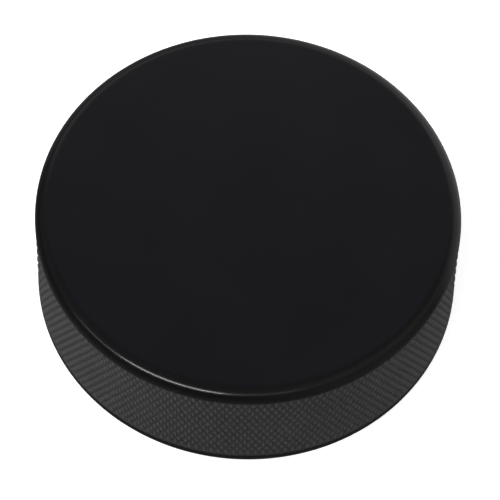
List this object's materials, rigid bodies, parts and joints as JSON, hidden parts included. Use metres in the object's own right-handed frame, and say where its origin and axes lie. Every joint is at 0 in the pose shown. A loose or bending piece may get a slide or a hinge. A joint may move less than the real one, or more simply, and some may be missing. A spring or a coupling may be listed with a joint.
{
  "type": "ice hockey puck",
  "caption": "Solid round disc of black rubber with flat faces, rounded rims and a moulded diamond grip band around its side.",
  "frame": {"origin": "centre of the bottom face, which is one of the two identical flat faces", "axes": "+Z along the puck's axis, from the bottom face to the top face; X and Y are any two directions across it"},
  "size_m": [0.0762, 0.0762, 0.0254],
  "materials": {
    "rubber": "satin"
  },
  "bodies": {
    "root": {"puck_body": "rubber"}
  },
  "joints": []
}
